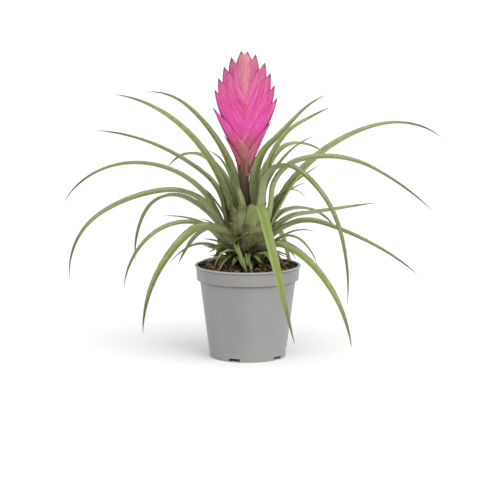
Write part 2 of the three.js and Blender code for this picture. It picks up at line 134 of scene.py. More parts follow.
# The large leaves, one for each leaf of the solids
LEAVES = {
    "right_arch_low": Leaf(-4, 97, 13, 208, 13, (66, 87, 13, -28, -43)),
    "right_arch_high": Leaf(20, 94, 9, 222, 14, (67, 58, 37, 10, -33)),
    "right_level": Leaf(29, 86, 8, 132, 11, (60, 45, 2, 4, 3)),
    "right_up_front": Leaf(34, 101, 22, 159, 11, (73, 86, 66, 17, 12)),
    "right_back_low": Leaf(54, 86.5, 0, 138, 10, (60, 38, 7, -18, -39)),
    "right_up_back": Leaf(61, 111, -3, 182, 10, (76, 84, 22, 26, 9)),
    "back_right": Leaf(74, 98, -15, 196, 12, (62, 56, 28, -3, -23)),
    "back_1": Leaf(72, 84.5, 0, 150, 11, (55, 20, -15, -45, -68)),
    "back_2": Leaf(93, 90, 4, 172, 13, (62, 34, 0, -40, -64)),
    "back_3": Leaf(103, 84.5, 0, 160, 12, (55, 18, -16, -48, -74)),
    "back_left": Leaf(114, 101, 4, 183, 12, (66, 43, 26, -4, -32)),
    "left_up_back": Leaf(126, 108, 11, 183, 11, (73, 72, 46, 28, -6)),
    "back_4": Leaf(124, 86.5, 0, 116, 12, (55, 22, -12, -38, -50)),
    "left_up_front": Leaf(148, 103, -5, 187, 13, (70, 66, 49, 25, 4)),
    "left_hook": Leaf(154, 90, -10, 156, 11, (62, 42, 20, -56, -92)),
    "left_up_low": Leaf(171, 94, -8.5, 170, 12, (69, 80, 37, 20, 3)),
    "left_arch_high": Leaf(184, 92, -16, 190, 13, (64, 64, 30, -12, -56)),
    "left_arch_low": Leaf(199, 89, 10, 208, 13, (65, 56, -1, -28, -94)),
    "left_droop": Leaf(205, 83.8, 2, 140, 11, (57, 46, 3, -43, -82)),
    "front_left": Leaf(231, 88.5, 0, 169, 15, (60, 27, -21, -47, -85)),
    "front_cup": Leaf(247, 95, 4, 31, 13, (64, 56, 14, -14, -22)),
    "front_young": Leaf(240, 110, 10, 46, 10, (84, 82, 76, 60, 45)),
    "front_long": Leaf(-82, 98, 10, 207, 15, (78, 28, -35, -46, -47)),
    "front_right": Leaf(-50, 86.5, 2, 151, 13, (57, -5, -23, -47, -75)),
    "right_droop": Leaf(-35, 104, 8, 208, 12, (72, 85, -29, -71, -93)),
    "right_low": Leaf(-12, 91, 3, 150, 12, (62, 27, -16, -26, -38)),
}

# Small leaves at the stem's foot
BASAL_LEAVES = (
    Leaf(-27, 77.5, 0, 78, 5.5, (56, 60, 34, -37, -68)),
    Leaf(-68, 77.5, 0, 60, 5.5, (44, 40, 20, -24, -66)),
    Leaf(-108, 84, 50, 34, 8, (44, 20, -10, -40, -30)),
    Leaf(8, 80.5, 0, 57, 5, (60, 52, 43, 13, -19)),
    Leaf(46, 78.5, 0, 58, 5.5, (50, 30, 6, -25, -55)),
    Leaf(87, 78, 0, 64, 5.5, (46, 30, 5, -25, -50)),
    Leaf(118, 78.5, 0, 56, 5.5, (46, 24, 0, -25, -50)),
    Leaf(148, 81, 0, 88, 5, (62, 50, 25, 7, -6)),
    Leaf(176, 79, 0, 67, 6, (58, 36, 15, -30, -52)),
    Leaf(224, 77, 0, 42, 5.5, (46, 36, 18, -5, -25)),
    Leaf(247, 78.5, 0, 72, 3.6, (56, 38, 12, -12, -57)),
)

# A leaf's shape: widths as shares of its width, evenly spaced from the foot of its sheath to its tip, how
# deep its channel is for its half width, and its finish
BLADE_ROWS = 84
BLADE_COLUMNS = 12
Shape = namedtuple("Shape", "widths channel finish")
USUAL_SHAPE = Shape((1.1, 1.3, 1.16, 0.93, 0.75, 0.65, 0.57, 0.48, 0.37, 0.22, 0.02), 0.7, "leaf")
OTHER_SHAPES = {
    "front_long": Shape((0.78, 0.78, 0.76, 0.7, 0.6, 0.54, 0.5, 0.45, 0.34, 0.2, 0.02), 0.5, "fresh"),
    "front_left": Shape((0.8, 0.9, 0.92, 0.86, 0.76, 0.66, 0.56, 0.47, 0.36, 0.2, 0.02), 0.7, "leaf"),
    "front_cup": Shape((0.8, 0.9, 1.05, 1.25, 1.5, 1.7, 1.8, 1.76, 1.56, 1.14, 0.1), 0.66, "cup"),
}
BASAL_WIDTHS = (1.6, 1.6, 1.2, 0.98, 0.86, 0.78, 0.68, 0.56, 0.42, 0.25, 0.02)
LEAF_THICKNESS = 0.8
LEAF_EDGE_SHARE = 0.3
LEAF_TIP_SHARE = 0.25
LEAF_TIP_HALF_WIDTH = 0.12
LEAF_SEAT = 0.9
SHEATH_DEPTH = 17
BASAL_DEPTH = 6
CHANNEL_REACH = 0.34
CHANNEL_CURVE = 1.7

# Unevenness of the leaves: twist in degrees and ragged margins, with their waves along a leaf
LEAF_TWIST = 15
TWIST_WAVES = 2.6
TWIST_STEP = 3.7
RAGGED = 0.07
RAGGED_WAVES = 0.3
RAGGED_STEP = 1.3
RAGGED_LAYER = 4

# Crown: broad blunt sheaths of the innermost leaves, in tiers of a foot's height, a count and a first turn,
# and one young sheath that stands in front of them
CROWN_TIERS = ((76, 6, 20), (84, 7, 47), (92, 7, 13), (100, 6, 40), (107, 4, 10))
CROWN_LENGTH = 25
CROWN_WIDTH = 18
CROWN_WIDTHS = (0.8, 0.95, 1.0, 1.0, 1.0, 0.98, 0.95, 0.88, 0.76, 0.56, 0.2)
CROWN_RISE = (64, 72, 78, 76, 72)
CROWN_FULL_RADIUS = 11
CROWN_ROWS = 26
CROWN_COLUMNS = 10
YOUNG_SHEATH = Leaf(-114, 98, 0, 33, 14, (70, 76, 84, 88, 84))
YOUNG_SEAT = 1.8

# Thin leaves that stand up between the large ones or hang over the soil in front
THIN_LEAVES = (
    Leaf(-119, 95, 79, 53, 6, (33, 18, -12, -41, -61)),
    Leaf(-109, 84, 1, 28, 7, (22, 18, 6, -18, -27)),
    Leaf(-90, 88, 0, 34, 5.5, (33, 11, -19, -22, 4)),
    Leaf(218, 91, 5, 32, 5, (41, 25, 4, -16, -10)),
    Leaf(-78, 85, 7, 37, 4.5, (41, 15, -6, -9, 9)),
    Leaf(13, 105, 0, 62, 6, (74, 80, 80, 76, 68)),
    Leaf(178, 102, 0, 48, 6, (62, 62, 60, 56, 50)),
    Leaf(57, 106, -5, 125, 5, (72, 59, 44, 25, 7)),
    Leaf(36, 100, 2, 92, 5, (69, 59, 41, 28, 25)),
    Leaf(27, 98.5, 2, 69, 4.5, (67, 63, 57, 34, 11)),
    Leaf(24, 97, 3, 74, 4, (70, 78, 66, 16, -62)),
    Leaf(140, 112, 1, 75, 5, (78, 74, 69, 54, 12)),
    Leaf(149, 108, 0, 52, 5, (79, 80, 76, 61, 50)),
    Leaf(175, 93, 0, 38, 5, (62, 54, 48, 32, 15)),
)

# Tangle at the stem's foot: short withered and young leaves in a seeded scatter
TANGLE_COUNT = 64
TANGLE_ROWS = 24
TANGLE_COLUMNS = 4
TANGLE_HEIGHTS = (76, 93)
TANGLE_LENGTHS = (12, 34)
TANGLE_WIDTHS = (2, 5.5)
TANGLE_RISES = (-10, 70)
TANGLE_ENDS = (-80, 30)
TANGLE_BEND = 20
TANGLE_DRIFT = 45

# Flower stalk, which leans over between two heights
STALK_FOOT = 112
STALK_TOP = 158
STALK_RADIUS = 2.4
STALK_SIDES = 32
STALK_STEPS = 10
STALK_TONE = 0.5
STALK_LEAN = -3.2
STALK_LEAN_HEIGHTS = (117, 155)

# Sheaths that clasp the stalk: the foot, turn and length of each, their reach from the stalk's middle at
# some heights, and how far they wrap round it, in degrees
CLASPS = ((112, 20, 24), (119, 198, 24), (126, 25, 24), (132, 190, 24), (138, 10, 24), (143, 172, 25),
          (147, 300, 23), (149, 110, 22))
CLASP_LEVELS = (120, 146, 153, 160, 170)
CLASP_REACHES = (2.9, 3.1, 3.7, 5, 5.6)
CLASP_FLAT_REACH = 3.6
CLASP_FLATNESS = 0.2
CLASP_WRAP = 118
CLASP_TIP_WRAP = 1.5
CLASP_TAPER = 2.2
CLASP_POINT = 0.8
CLASP_BULGE = 0.7
CLASP_TUCK = 0.5
CLASP_HALF_THICKNESS = 0.25

# Flower head, seen from the front: each bract's reach from the head's middle and the height of its tip
HEAD_CENTRE = -2.2
HEAD_HALF_WIDTH = 27.3
HEAD_HALF_THICKNESS = 3.2
RIGHT_TIPS = ((13.1, 181), (22.4, 200.4), (27.2, 220.2), (24.8, 230.6), (21.2, 240.6), (16.5, 249.4),
              (8.9, 256.3), (2, 258.6))
LEFT_TIPS = ((8.6, 168), (18.6, 189.5), (27.3, 212.2), (25.6, 227), (22.3, 236.5), (17.5, 246),
             (11.5, 253.8), (3.3, 259))

# Bracts, in millimetres
BRACT_ROWS = 30
BRACT_COLUMNS = 18
BRACT_LENGTH = 29
BRACT_EXTRA_LENGTH = 0.25
BRACT_DEPTH = 14
BRACT_START = 3
BRACT_LOWEST_ROOT = 152
BRACT_THICKNESS = 0.24
BRACT_MARGIN_THINNING = 0.8
BRACT_CROSSING = 3.2
BRACT_FULLNESS = 6
BRACT_LIFT = 0.2
BRACT_EDGE_SHARE = 1.12
BRACT_TIP_DEPTH = 0.2
BRACT_TIP_SLOPE = 9
BRACT_BELLY = 2.2
BRACT_ROUNDING = 0.62
BRACT_SMOOTH_ANGLE = 40

# The bends of a bract's keel and of its inner edge
KEEL_FOOT = 2.5
KEEL_HEIGHTS = (168, 200, 220, 235, 250, 259)
KEEL_BENDS = (4.5, 9, 22, 26, 22.5, 14.5)
INNER_BOW = 0.42
INNER_BOW_AT = 0.55
INNER_BOW_RISE = 0.36

# Axis inside the flower head, sunk into the stalk's top
AXIS_RADIUS = 2.4
AXIS_TIP_RADIUS = 1
AXIS_SUNK = 4
AXIS_TAPER = 200
AXIS_TOP = 236
AXIS_SIDES = 24

# Light and floor. A sun is its name, where it shines from and its strength.
FLOOR_SIZE = 40
WORLD_STRENGTH = 0.7
SUN_WIDTH = 60
SUNS = (("sun", (0.95, -0.85, 0.9), 1.35), ("top", (-0.15, -1, 1.7), 1.1))


def paint(red, green, blue):
    """A colour given as on screen, 0 to 255, in the linear values that the shaders take."""
    values = [c / 255 for c in (red, green, blue)]
    return tuple(c / 12.92 if c <= 0.04045 else ((c + 0.055) / 1.055) ** 2.4 for c in values) + (1,)


def set_inputs(tree, node, inputs):
    """Sets the node's inputs. An input is a value, or a socket that it is linked from."""
    for name, value in inputs.items():
        if isinstance(value, bpy.types.NodeSocket):
            tree.links.new(value, node.inputs[name])
        else:
            node.inputs[name].default_value = value


def add_node(tree, kind, inputs=None, **settings):
    """A node with its inputs and its settings."""
    node = tree.nodes.new("ShaderNode" + kind)
    for name, value in settings.items():
        setattr(node, name, value)
    set_inputs(tree, node, inputs or {})
    return node


def new_finish(name):
    """A material and its tree and shader."""
    material = bpy.data.materials.new(name)
    material.use_nodes = True
    return material, material.node_tree, material.node_tree.nodes["Principled BSDF"]


def attribute(tree, name):
    """The three parts of a vertex attribute."""
    vector = add_node(tree, "Attribute", attribute_name=name).outputs["Vector"]
    parts = add_node(tree, "SeparateXYZ", {"Vector": vector})
    return parts.outputs["X"], parts.outputs["Y"], parts.outputs["Z"]


def place_of(tree):
    """Where a point is, in metres."""
    return add_node(tree, "TexCoord").outputs["Object"]


def height_of(tree):
    """How high a point is, in metres."""
    return add_node(tree, "SeparateXYZ", {"Vector": place_of(tree)}).outputs["Z"]


def reach_of(tree):
    """How far a point is from the pot's axis, in metres."""
    level = add_node(tree, "VectorMath", {0: place_of(tree), 1: (1, 1, 0)}, operation="MULTIPLY")
    return add_node(tree, "VectorMath", {0: level.outputs["Vector"]}, operation="LENGTH").outputs["Value"]


def grain_of(tree):
    """Where a point lies on its own blade: millimetres across and along, and the blade's number."""
    return add_node(tree, "Attribute", attribute_name="grain").outputs["Vector"]


def stretched(tree, vector, scale):
    """The vector with each part multiplied by its own scale."""
    return add_node(tree, "Mapping", {"Vector": vector, "Scale": scale}).outputs["Vector"]


def speckle(tree, vector, scale, detail=3.0, rough=0.55):
    """Noise from 0 to 1."""
    inputs = {"Vector": vector, "Scale": scale, "Detail": detail, "Roughness": rough}
    return add_node(tree, "TexNoise", inputs).outputs["Fac"]


def ramp(tree, factor, stops):
    """Colours or greys by the factor. A stop is its place and its colour."""
    node = add_node(tree, "ValToRGB", {"Fac": factor})
    elements = node.color_ramp.elements
    while len(elements) < len(stops):
        elements.new(0.5)
    for element, (place, colour) in zip(elements, stops):
        element.position = place
        element.color = colour if isinstance(colour, tuple) else (colour, colour, colour, 1)
    return node.outputs["Color"]


def mixed(tree, factor, first, second, way="MIX"):
    """The second colour laid over the first."""
    node = add_node(tree, "MixRGB", {"Fac": factor, "Color1": first, "Color2": second}, blend_type=way)
    return node.outputs["Color"]


def maths(tree, way, first, second=0.0):
    """One sum of two values."""
    return add_node(tree, "Math", {0: first, 1: second}, operation=way).outputs["Value"]


def ranged(tree, value, low, high, to_low=0.0, to_high=1.0):
    """The value's place between low and high, smoothly, as a value from to_low to to_high."""
    inputs = {"Value": value, "From Min": low, "From Max": high, "To Min": to_low, "To Max": to_high}
    return add_node(tree, "MapRange", inputs, interpolation_type="SMOOTHSTEP").outputs["Result"]


def laid(tree, first, second, value, low, high, most=1.0):
    """The second colour laid over the first, from none at low to the most at high."""
    return mixed(tree, ranged(tree, value, low, high, 0.0, most), first, second)


def bumped(tree, shader, height, strength, distance):
    """Relief from a height value, distance in metres."""
    node = add_node(tree, "Bump", {"Height": height, "Strength": strength, "Distance": distance})
    tree.links.new(node.outputs["Normal"], shader.inputs["Normal"])


def leaf_finish(name, green, silver, under, sheath, rust):
    """Leaf: silvery margins round a greener middle, a grey underside, a streaked sheath flushed with rust,
    painted shade near the stem's foot that darkens it towards the soil, and a dark tip."""
    material, tree, shader = new_finish(name)
    across, along, face = attribute(tree, "share")
    grain = grain_of(tree)
    streaks = speckle(tree, stretched(tree, grain, (0.6, 0.022, 1)), 1.0, 5.0, 0.68)
    fine = speckle(tree, stretched(tree, grain, (1.3, 0.06, 1)), 1.0, 4.0, 0.68)
    patches = speckle(tree, stretched(tree, grain, (0.1, 0.03, 1)), 1.0, 3.0)
    scurf = speckle(tree, stretched(tree, grain, (0.6, 0.3, 1)), 1.0, 4.0, 0.7)
    margin = maths(tree, "ADD", maths(tree, "ABSOLUTE", across), maths(tree, "MULTIPLY", streaks, 1.5))
    colour = laid(tree, green, silver, margin, 0.85, 1.45, 0.9)
    below = laid(tree, under, silver, streaks, 0.35, 0.65)
    colour = laid(tree, colour, below, face, 0.3, -0.3)
    colour = laid(tree, colour, silver, patches, 0.5, 0.75, 0.6)
    colour = laid(tree, colour, green, fine, 0.54, 0.36, 0.75)
    dark = mixed(tree, 0.5, green, rust)
    colour = laid(tree, colour, dark, streaks, 0.46, 0.3, 0.6)
    base = laid(tree, sheath, silver, fine, 0.36, 0.58)
    base = laid(tree, base, rust, fine, 0.44, 0.3, 0.7)
    base = laid(tree, base, rust, streaks, 0.56, 0.68, 0.55)
    colour = laid(tree, colour, base, along, 0.42, 0.1)
    edge = maths(tree, "MULTIPLY", ranged(tree, maths(tree, "ABSOLUTE", across), 0.78, 0.95), 0.85)
    colour = mixed(tree, maths(tree, "MULTIPLY", edge, ranged(tree, along, 0.5, 0.25)), colour, rust)
    colour = laid(tree, colour, silver, scurf, 0.5, 0.7, 0.5)
    colour = laid(tree, colour, dark, scurf, 0.47, 0.3, 0.5)
    colour = laid(tree, colour, paint(92, 90, 72), along, 0.74, 0.96, 0.8)
    number = attribute(tree, "grain")[2]
    tone = add_node(tree, "TexWhiteNoise", {"W": number}, noise_dimensions="1D").outputs["Value"]
    tint = ramp(tree, tone, (
        (0.0, paint(218, 224, 208)),
        (0.5, paint(242, 243, 230)),
        (1.0, paint(255, 255, 238)),
    ))
    colour = mixed(tree, 1.0, colour, tint, "MULTIPLY")
    # Painted shade: low down and close to the stem, the colour darkens to dark olive, patchy with the
    # scurf, where the crown's leaves shade each other.
    low = ranged(tree, height_of(tree), 116 * MM, 94 * MM)
    foot = maths(tree, "MULTIPLY", low, ranged(tree, reach_of(tree), 34 * MM, 18 * MM))
    foot = maths(tree, "MULTIPLY", foot, ranged(tree, scurf, 0.42, 0.62, 1.0, 0.45))
    colour = mixed(tree, foot, colour, paint(50, 50, 20))
    set_inputs(tree, shader, {
        "Base Color": colour,
        "Roughness": ranged(tree, streaks, 0.2, 0.8, 0.45, 0.65),
        "Specular IOR Level": 0.35,
        "Subsurface Weight": 0.1,
        "Subsurface Radius": (0.6, 1.0, 0.2),
        "Subsurface Scale": 1.0 * MM,
    })
    bumped(tree, shader, maths(tree, "ADD", streaks, fine), 0.7, 0.18 * MM)
    return material


def bract_finish():
    """Bract: magenta low down, rose above and salmon along the seam at the top, mottled and veined, with a
    maroon keel and tip."""
    material, tree, shader = new_finish("bract")
    across, along, _ = attribute(tree, "share")
    grain = grain_of(tree)
    place = add_node(tree, "SeparateXYZ", {"Vector": place_of(tree)})
    side, height = place.outputs["X"], place.outputs["Z"]
    wash = speckle(tree, stretched(tree, grain, (0.16, 0.08, 1)), 1.0, 3.0)
    wander = maths(tree, "MULTIPLY", maths(tree, "SUBTRACT", wash, 0.5), 30 * MM)
    level = ranged(tree, maths(tree, "ADD", height, wander), 154 * MM, 262 * MM)
    colour = ramp(tree, level, (
        (0.0, paint(112, 74, 58)),
        (0.1, paint(146, 74, 76)),
        (0.2, paint(190, 60, 112)),
        (0.34, paint(212, 56, 152)),
        (0.58, paint(212, 66, 150)),
        (0.8, paint(198, 82, 138)),
        (1.0, paint(170, 92, 116)),
    ))
    mottle = speckle(tree, stretched(tree, grain, (0.9, 0.32, 1)), 1.0, 5.0, 0.65)
    fine = speckle(tree, stretched(tree, grain, (2.4, 1.3, 1)), 1.0, 3.0, 0.7)
    colour = laid(tree, colour, paint(194, 70, 108), mottle, 0.5, 0.68, 0.65)
    colour = laid(tree, colour, paint(226, 108, 184), mottle, 0.48, 0.32, 0.6)
    colour = laid(tree, colour, paint(188, 60, 104), fine, 0.52, 0.72, 0.5)
    colour = laid(tree, colour, paint(236, 146, 196), fine, 0.46, 0.3, 0.5)
    colour = laid(tree, colour, paint(196, 50, 132), wash, 0.42, 0.3, 0.6)
    middle = maths(tree, "ABSOLUTE", maths(tree, "SUBTRACT", side, HEAD_CENTRE * MM))
    low = ranged(tree, height, 192 * MM, 176 * MM)
    core = maths(tree, "MULTIPLY", ranged(tree, middle, 9 * MM, 2 * MM), low)
    core = maths(tree, "MULTIPLY", core, ranged(tree, mottle, 0.3, 0.62, 0.25, 0.95))
    colour = mixed(tree, core, colour, paint(150, 92, 82))
    spread = ranged(tree, height, 212 * MM, 258 * MM, 1.6 * MM, 7 * MM)
    seam = maths(tree, "DIVIDE", maths(tree, "ADD", middle, maths(tree, "MULTIPLY", wander, 0.12)), spread)
    seam = maths(tree, "MULTIPLY", ranged(tree, seam, 1.15, 0.3), ranged(tree, mottle, 0.3, 0.6, 1.0, 0.6))
    high = ranged(tree, height, 190 * MM, 208 * MM, 0.0, 0.9)
    tone = laid(tree, paint(198, 70, 96), paint(214, 142, 138), height, 212 * MM, 230 * MM)
    colour = mixed(tree, maths(tree, "MULTIPLY", seam, high), colour, tone)
    veins = speckle(tree, stretched(tree, grain, (0.55, 0.02, 1)), 1.0, 4.0, 0.65)
    colour = laid(tree, colour, paint(182, 44, 100), veins, 0.5, 0.66, 0.6)
    colour = laid(tree, colour, paint(230, 118, 168), veins, 0.48, 0.34, 0.6)
    # Painted highlight: a faint pale rim along each bract's free margin, where its edge catches the light.
    inner = ranged(tree, maths(tree, "ABSOLUTE", across), 0.86, 1.0, 0.0, 0.08)
    colour = mixed(tree, inner, colour, paint(224, 134, 158))
    keel = ranged(tree, maths(tree, "ABSOLUTE", across), 0.3, 0.06)
    below = ranged(tree, height, 224 * MM, 200 * MM, 0.15, 0.95)
    colour = mixed(tree, maths(tree, "MULTIPLY", keel, below), colour, paint(92, 48, 52))
    colour = laid(tree, colour, paint(92, 64, 68), along, 0.86, 0.96, 0.9)
    set_inputs(tree, shader, {
        "Base Color": colour,
        "Roughness": 0.5,
        "Specular IOR Level": 0.35,
        "Subsurface Weight": 0.15,
        "Subsurface Radius": (1.0, 0.25, 0.5),
        "Subsurface Scale": 2 * MM,
    })
    bumped(tree, shader, maths(tree, "ADD", veins, mottle), 0.5, 0.25 * MM)
    return material


def sheath_finish():
    """Stalk and its sheaths: brown with dark edges and fine lines, darker below and pinkish at the top."""
    material, tree, shader = new_finish("stalk_sheath")
    across = attribute(tree, "share")[0]
    lines = speckle(tree, stretched(tree, grain_of(tree), (1.2, 0.04, 1)), 1.0, 3.0)
    height = height_of(tree)
    colour = laid(tree, paint(82, 50, 28), paint(124, 80, 50), lines, 0.35, 0.65)
    edge = ranged(tree, maths(tree, "ABSOLUTE", across), 0.4, 0.85, 0.0, 0.95)
    colour = mixed(tree, edge, colour, paint(50, 28, 20))
    wander = maths(tree, "MULTIPLY", maths(tree, "SUBTRACT", lines, 0.5), 22 * MM)
    blotch = maths(tree, "ADD", height, wander)
    colour = laid(tree, colour, paint(152, 80, 74), blotch, 158 * MM, 172 * MM, 0.6)
    colour = laid(tree, colour, paint(76, 56, 34), height, 162 * MM, 147 * MM, 0.85)
    colour = laid(tree, colour, paint(42, 32, 20), height, 152 * MM, 138 * MM, 0.8)
    set_inputs(tree, shader, {"Base Color": colour, "Roughness": 0.55})
    bumped(tree, shader, lines, 0.5, 0.15 * MM)
    return material


def stem_finish():
    """Stem core: shaded brown and olive, seen only between the leaf bases."""
    material, tree, shader = new_finish("stem_core")
    patches = speckle(tree, stretched(tree, place_of(tree), (260, 260, 60)), 1.0, 4.0)
    colour = ramp(tree, patches, (
        (0.3, paint(50, 44, 26)),
        (0.55, paint(80, 76, 44)),
        (0.75, paint(98, 74, 54)),
    ))
    set_inputs(tree, shader, {"Base Color": colour, "Roughness": 0.8})
    bumped(tree, shader, patches, 0.6, 0.4 * MM)
    return material


def pot_finish():
    """Pot: grey moulded plastic with a satin face, faint rings from the mould, painted shade under its band
    and its lip, a painted highlight on top of the lip, painted bounce light towards the foot, and a soil
    stain with painted shade inside."""
    material, tree, shader = new_finish("pot_plastic")
    place = place_of(tree)
    cloud = speckle(tree, stretched(tree, place, (30, 30, 18)), 1.0, 3.0)
    grit = speckle(tree, place, 2400, 2.0)
    rings = speckle(tree, stretched(tree, place, (2, 2, 900)), 1.0, 2.0)
    colour = laid(tree, paint(140, 139, 139), paint(146, 145, 144), cloud, 0.35, 0.65)
    colour = laid(tree, colour, paint(136, 137, 139), rings, 0.5, 0.75, 0.2)
    height, reach = height_of(tree), reach_of(tree)
    # Soil stain and painted shade: the inner wall above the band's foot is darkened to a dark grey.
    inside = ranged(tree, reach, (POT_BAND_FOOT_RADIUS - 0.1) * MM, (POT_BAND_FOOT_RADIUS - 0.3) * MM)
    above = ranged(tree, height, (POT_BAND_FOOT + 1) * MM, (POT_BAND_FOOT + 2) * MM)
    colour = mixed(tree, maths(tree, "MULTIPLY", inside, above), colour, paint(60, 58, 58))
    # Painted shade: a thin darker ring just under the band, where its overhang shades the body.
    painted_band_shade = ranged(tree, height, (POT_BAND_FOOT - 2.6) * MM, (POT_BAND_FOOT - 0.3) * MM, 0.0, 0.6)
    clear = ranged(tree, height, (POT_BAND_FOOT + 0.1) * MM, (POT_BAND_FOOT + 0.3) * MM, 1.0, 0.0)
    colour = mixed(tree, maths(tree, "MULTIPLY", painted_band_shade, clear), colour, paint(74, 73, 74))
    lip_foot = POT_HEIGHT - POT_LIP_HEIGHT
    # Painted shade: a thin darker ring just under the lip's overhang.
    painted_lip_shade = ranged(tree, height, (lip_foot - 1.6) * MM, (lip_foot - 0.1) * MM, 0.0, 0.45)
    clear = ranged(tree, height, (lip_foot + 0.1) * MM, (lip_foot + 0.25) * MM, 1.0, 0.0)
    colour = mixed(tree, maths(tree, "MULTIPLY", painted_lip_shade, clear), colour, paint(74, 73, 74))
    # Painted highlight: the lip's top face is lightened to a pale grey.
    painted_lip_highlight = ranged(tree, height, (lip_foot + 0.3) * MM, (POT_HEIGHT - 0.3) * MM, 0.0, 0.6)
    colour = mixed(tree, painted_lip_highlight, colour, paint(188, 188, 190))
    # Painted bounce light: lighter grey towards the foot, standing in for light thrown up from the floor.
    colour = laid(tree, colour, paint(152, 149, 147), height, 30 * MM, 2 * MM, 0.8)
    scuffs = speckle(tree, stretched(tree, place, (160, 160, 500)), 1.0, 5.0, 0.7)
    set_inputs(tree, shader, {
        "Base Color": colour,
        "Roughness": ranged(tree, scuffs, 0.4, 0.75, 0.4, 0.55),
        "Specular IOR Level": 0.4,
    })
    bumped(tree, shader, maths(tree, "ADD", grit, rings), 0.2, 0.06 * MM)
    return material


def soil_finish(name, stops):
    """Bark mix: dark red-brown wood, with each piece as dark or light as its own tone."""
    material, tree, shader = new_finish(name)
    grain = speckle(tree, stretched(tree, place_of(tree), (500, 900, 700)), 1.0, 5.0, 0.65)
    tone = maths(tree, "MULTIPLY", attribute(tree, "share")[2], 0.6)
    colour = ramp(tree, maths(tree, "ADD", maths(tree, "MULTIPLY", grain, 0.45), tone), stops)
    set_inputs(tree, shader, {"Base Color": colour, "Roughness": 0.85})
    bumped(tree, shader, grain, 0.8, 0.4 * MM)
    return material


def select_only(*pieces):
    """Nothing but these pieces is selected, and the first is active."""
    bpy.ops.object.select_all(action="DESELECT")
    for piece in pieces:
        piece.select_set(True)
    bpy.context.view_layer.objects.active = pieces[0]


def added(name):
    """The object that an operator has just added, with its name."""
    piece = bpy.context.object
    piece.name = name
    piece.data.name = name
    return piece


def modified(piece, kind, **settings):
    """Adds a modifier to the piece and applies it."""
    select_only(piece)
    modifier = piece.modifiers.new(kind.title(), kind)
    for name, value in settings.items():
        setattr(modifier, name, value)
    bpy.ops.object.modifier_apply(modifier=modifier.name)


def joined(name, pieces):
    """The pieces as one object."""
    select_only(*pieces)
    bpy.ops.object.join()
    return added(name)


def facing_out(piece):
    """Merges doubles and turns all faces outward."""
    select_only(piece)
    bpy.ops.object.mode_set(mode="EDIT")
    bpy.ops.mesh.select_all(action="SELECT")
    bpy.ops.mesh.remove_doubles(threshold=MERGE_DISTANCE * MM)
    bpy.ops.mesh.normals_make_consistent(inside=False)
    bpy.ops.object.mode_set(mode="OBJECT")


def finished(piece, material, slot, *nodes):
    """Gives the piece its finish, its body and the nodes that it stands for."""
    piece.data.materials.clear()
    piece.data.materials.append(material)
    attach(piece, "root")
    if nodes:
        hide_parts(*nodes)


def through(values, share):
    """A value on the smooth curve through evenly spaced values, and how fast it changes there."""
    place = share * (len(values) - 1)
    i = max(0, min(int(place), len(values) - 2))
    t = place - i
    b, c = values[i], values[i + 1]
    a = values[i - 1] if i > 0 else b * 2 - c
    d = values[i + 2] if i + 2 < len(values) else c * 2 - b
    bend, twist = a * 2 - b * 5 + c * 4 - d, b * 3 - a - c * 3 + d
    value = (b * 2 + (c - a) * t + bend * t ** 2 + twist * t ** 3) * 0.5
    change = (c - a + bend * (2 * t) + twist * (3 * t ** 2)) * 0.5
    return value, change


def between(value, places, values):
    """The value on the straight stretches between the listed places."""
    i = 1
    while i < len(places) - 1 and value > places[i]:
        i += 1
    share = (value - places[i - 1]) / (places[i] - places[i - 1])
    share = max(0, min(1, share))
    return values[i - 1] + (values[i] - values[i - 1]) * share


def stem_radius(height):
    """The stem's radius at a height. Its rounded foot is left out."""
    radii, heights = zip(*STEM_PROFILE[1:])
    return between(height, heights, radii)


def add_flat_blade(rows, columns):
    """A flat blade that every leaf, sheath and bract is shaped from: across -1 to 1, along 0 to 1 and faces
    at -1 and 1."""
    bpy.ops.object.select_all(action="DESELECT")
    bpy.ops.mesh.primitive_grid_add(x_subdivisions=columns, y_subdivisions=rows, size=2)
    blade = added("flat_blade")
    bpy.ops.object.mode_set(mode="EDIT")
    bpy.ops.mesh.select_all(action="SELECT")
    bpy.ops.transform.translate(value=(0, 1, 0))
    bpy.ops.transform.resize(value=(1, 0.5, 1), center_override=(0, 0, 0))
    bpy.ops.object.mode_set(mode="OBJECT")
    modified(blade, "SOLIDIFY", thickness=2, offset=0)
    bpy.ops.object.shade_smooth()
    return blade


def shaped(name, flat, place, number):
    """A copy of the flat blade with each corner moved to place(across, along, face), in millimetres. Its
    attributes keep where each corner was on the flat blade, and where it lies in millimetres of the blade's
    own grain."""
    piece = flat.copy()
    piece.data = flat.data.copy()
    piece.name = name
    piece.data.name = name
    bpy.context.collection.objects.link(piece)
    share = piece.data.attributes.new("share", "FLOAT_VECTOR", "POINT")
    grain = piece.data.attributes.new("grain", "FLOAT_VECTOR", "POINT")
    for i, corner in enumerate(piece.data.vertices):
        across, along, face = corner.co
        point, grain_across, grain_along = place(across, along, face)
        share.data[i].vector = (across, along, face)
        grain.data[i].vector = (grain_across, grain_along, number * GRAIN_STEP)
        corner.co = point * MM
    piece.data.update()
    return piece


def leaf_direction(leaf, share):
    """Which way the leaf's middle line points at a share of its length."""
    heading = math.radians(leaf.turn + leaf.drift * share)
    rise = math.radians(between(share, BEND_AT, leaf.rise))
    level = math.cos(rise)
    return Vector((level * math.cos(heading), level * math.sin(heading), math.sin(rise)))


def leaf_spine(leaf, seat, depth):
    """Points along the leaf's middle: up the stem's side to its root, then along its bends."""
    start = math.radians(leaf.turn)
    outward = Vector((math.cos(start), math.sin(start), 0))
    points = []
    for share in (1, 0.5, 0):
        height = leaf.root - depth * share
        points.append(outward * (stem_radius(height) + seat) + Vector((0, 0, height)))
    centre = points[-1].copy()
    for i in range(SPINE_STEPS):
        centre += leaf_direction(leaf, (i + 0.5) / SPINE_STEPS) * (leaf.length / SPINE_STEPS)
        points.append(centre.copy())
    return points


